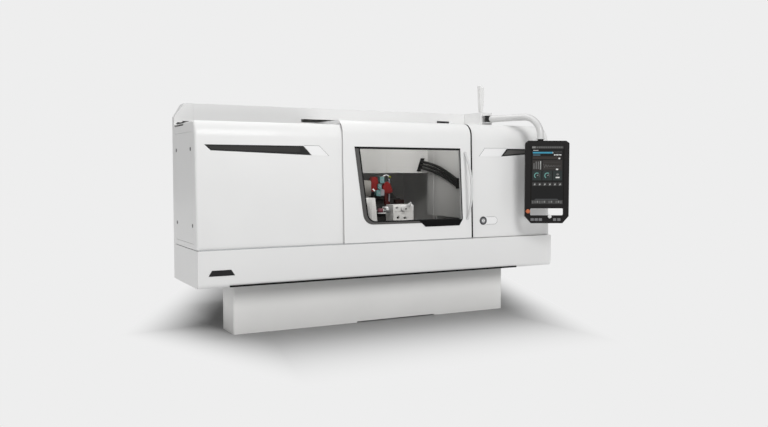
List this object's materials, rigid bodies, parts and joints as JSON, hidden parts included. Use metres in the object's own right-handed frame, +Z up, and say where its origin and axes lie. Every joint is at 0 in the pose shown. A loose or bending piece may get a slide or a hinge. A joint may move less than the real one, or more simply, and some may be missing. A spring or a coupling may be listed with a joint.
{
  "type": "cylindrical grinder",
  "caption": "Enclosed cylindrical grinder with sliding window door, swing-arm control panel, sliding table with workhead and tailstock, and a wheelhead that feeds in.",
  "frame": {"origin": "on the floor at the middle of the length and of the nominal depth, under the bed", "axes": "+X to the operator's right along the work axis, +Y away from the operator, +Z up"},
  "size_m": [3.504, 2.3686, 2.199],
  "materials": {
    "white_paint": "satin powder coat",
    "end_paint": "satin powder coat",
    "bed_paint": "satin paint on cast bed",
    "pad_iron": "blackened",
    "black_trim": "satin black with dark grey insert",
    "plate_white": "printed plate, bare",
    "lock_dark": "satin",
    "latch_steel": "satin nickel",
    "frame_grey": "satin dark grey",
    "pane": "clear safety pane",
    "black_gloss": "gloss black, bare",
    "handle_metal": "satin light grey",
    "rail_black": "matt black",
    "guide_steel": "ground",
    "cabin_paint": "satin light grey",
    "cabinet_inside": "zinc plated with grey modules",
    "switch_red": "red handle",
    "lamp_white": "frosted",
    "joint_black": "satin black",
    "tube_paint": "satin",
    "panel_black": "satin black",
    "screen_glass": "dark display glass",
    "stop_red": "gloss",
    "knob_grey": "satin",
    "key_grey": "satin",
    "machined_iron": "ground and scraped",
    "ground_steel": "ground",
    "head_paint": "satin",
    "lever_steel": "satin light grey",
    "motor_black": "matt",
    "wheelhead_paint": "satin dark grey",
    "abrasive": "vitrified abrasive",
    "guard_paint": "satin",
    "nozzle_red": "anodised red",
    "hose_black": "ribbed black hose"
  },
  "bodies": {
    "machine": {"machine_bed": "bed_paint", "levelling_pads": "pad_iron", "skirt": "white_paint", "skirt_badge_plate": "black_trim", "left_cover": "white_paint", "left_service_panel": "end_paint", "left_stripe": "black_trim", "right_cover": "white_paint", "right_service_panel": "end_paint", "right_stripe": "black_trim", "label_plates": "plate_white", "lock_rosette": "lock_dark", "pill_plate": "plate_white", "service_latches": "latch_steel", "door_rail": "rail_black", "door_lower_rail": "guide_steel", "rear_housing": "white_paint", "rear_end_cap": "white_paint", "cabin_back_wall": "cabin_paint", "cabin_right_wall": "cabin_paint", "electrical_cabinet": "white_paint", "mounting_plate": "cabinet_inside", "arm_console": "white_paint", "signal_lamp": "lamp_white", "drive_motors": "motor_black", "hose_bundle": "hose_black"},
    "door": {"door_shell": "white_paint", "window_frame": "frame_grey", "window_glass": "pane", "door_label_plate": "black_gloss", "door_handle": "handle_metal", "door_guides": "guide_steel"},
    "arm": {"arm_joint": "joint_black", "arm_tube": "tube_paint"},
    "panel": {"control_panel": "panel_black", "screen": "screen_glass"},
    "stop_button": {"emergency_stop": "stop_red"},
    "knob": {"override_knob": "knob_grey"},
    "key_1": {"panel_key_1": "key_grey"},
    "key_2": {"panel_key_2": "key_grey"},
    "key_3": {"panel_key_3": "key_grey"},
    "key_4": {"panel_key_4": "key_grey"},
    "key_5": {"panel_key_5": "key_grey"},
    "table": {"long_slide": "machined_iron"},
    "table_screw_shaft": {"table_screw": "ground_steel"},
    "upper_table": {"swivel_table": "machined_iron", "workhead": "head_paint", "tailstock": "head_paint"},
    "spindle": {"work_spindle": "ground_steel"},
    "quill_shaft": {"quill": "ground_steel"},
    "lever": {"quill_lever": "lever_steel"},
    "infeed": {"cross_slide": "machined_iron", "wheelhead": "wheelhead_paint", "wheel_guard": "guard_paint", "coolant_nozzles": "nozzle_red"},
    "infeed_screw_shaft": {"infeed_screw": "ground_steel"},
    "wheel": {"grinding_wheel": "abrasive"},
    "rear_door": {"rear_service_door": "white_paint"},
    "cab_door": {"cabinet_door": "white_paint"},
    "power_switch": {"main_switch": "switch_red"}
  },
  "joints": [
    {"name": "door_slide", "type": "slide", "parent": "machine", "child": "door", "axis": [-1, 0, 0], "range_m": [0, 1.18]},
    {"name": "arm_swing", "type": "hinge", "parent": "machine", "child": "arm", "pos_m": [1.254, -0.63, 1.862], "axis": [0, 0, 1], "range_deg": [-45, 25]},
    {"name": "panel_swivel", "type": "hinge", "parent": "arm", "child": "panel", "pos_m": [1.44364, -1.20008, 1.246], "axis": [0, 0, 1], "range_deg": [-60, 35]},
    {"name": "stop_press", "type": "slide", "parent": "panel", "child": "stop_button", "axis": [0.4695, 0.8829, 0], "range_m": [0, 0.004], "stiffness_N_per_m": 2000},
    {"name": "knob_turn", "type": "hinge", "parent": "panel", "child": "knob", "pos_m": [1.50508, -1.2656, 0.924], "axis": [0.4695, 0.8829, 0], "range_deg": [-150, 150]},
    {"name": "key_1_press", "type": "slide", "parent": "panel", "child": "key_1", "axis": [0.4695, 0.8829, 0], "range_m": [0, 0.002], "stiffness_N_per_m": 1000},
    {"name": "key_2_press", "type": "slide", "parent": "panel", "child": "key_2", "axis": [0.4695, 0.8829, 0], "range_m": [0, 0.002], "stiffness_N_per_m": 1000},
    {"name": "key_3_press", "type": "slide", "parent": "panel", "child": "key_3", "axis": [0.4695, 0.8829, 0], "range_m": [0, 0.002], "stiffness_N_per_m": 1000},
    {"name": "key_4_press", "type": "slide", "parent": "panel", "child": "key_4", "axis": [0.4695, 0.8829, 0], "range_m": [0, 0.002], "stiffness_N_per_m": 1000},
    {"name": "key_5_press", "type": "slide", "parent": "panel", "child": "key_5", "axis": [0.4695, 0.8829, 0], "range_m": [0, 0.002], "stiffness_N_per_m": 1000},
    {"name": "table_slide", "type": "slide", "parent": "machine", "child": "table", "axis": [1, 0, 0], "range_m": [-0.75, 0.28]},
    {"name": "table_screw_turn", "type": "hinge", "parent": "machine", "child": "table_screw_shaft", "pos_m": [0, -0.45, 0.64], "axis": [1, 0, 0], "continuous": true},
    {"name": "table_swivel", "type": "hinge", "parent": "table", "child": "upper_table", "pos_m": [0, -0.45, 0.8], "axis": [0, 0, 1], "range_deg": [0, 8.5]},
    {"name": "work_spin", "type": "hinge", "parent": "upper_table", "child": "spindle", "pos_m": [0, -0.45, 0.975], "axis": [1, 0, 0], "continuous": true},
    {"name": "quill_retract", "type": "slide", "parent": "upper_table", "child": "quill_shaft", "axis": [1, 0, 0], "range_m": [0, 0.035]},
    {"name": "lever_turn", "type": "hinge", "parent": "upper_table", "child": "lever", "pos_m": [0.34, -0.525, 0.995], "axis": [0, 1, 0], "range_deg": [0, 50]},
    {"name": "infeed_slide", "type": "slide", "parent": "machine", "child": "infeed", "axis": [0, 1, 0], "range_m": [-0.13, 0.2]},
    {"name": "infeed_screw_turn", "type": "hinge", "parent": "machine", "child": "infeed_screw_shaft", "pos_m": [0.34, 0, 0.692], "axis": [0, 1, 0], "continuous": true},
    {"name": "wheel_spin", "type": "hinge", "parent": "infeed", "child": "wheel", "pos_m": [0.078, -0.05, 0.975], "axis": [1, 0, 0], "continuous": true},
    {"name": "rear_door_hinge", "type": "hinge", "parent": "machine", "child": "rear_door", "pos_m": [-1.15, 1.009, 1.2], "axis": [0, 0, 1], "range_deg": [0, 110]},
    {"name": "cabinet_door_hinge", "type": "hinge", "parent": "machine", "child": "cab_door", "pos_m": [1.65, 1.009, 1], "axis": [0, 0, -1], "range_deg": [0, 110]},
    {"name": "main_switch_turn", "type": "hinge", "parent": "machine", "child": "power_switch", "pos_m": [1.7, 0.7, 1.45], "axis": [1, 0, 0], "range_deg": [0, 90]}
  ],
  "couplings": [
    {"joint": "table_screw_turn", "follows": "table_slide", "rad_per_m": 314.16},
    {"joint": "infeed_screw_turn", "follows": "infeed_slide", "rad_per_m": 628.32},
    {"joint": "lever_turn", "follows": "quill_retract", "rad_per_m": 24.913}
  ]
}
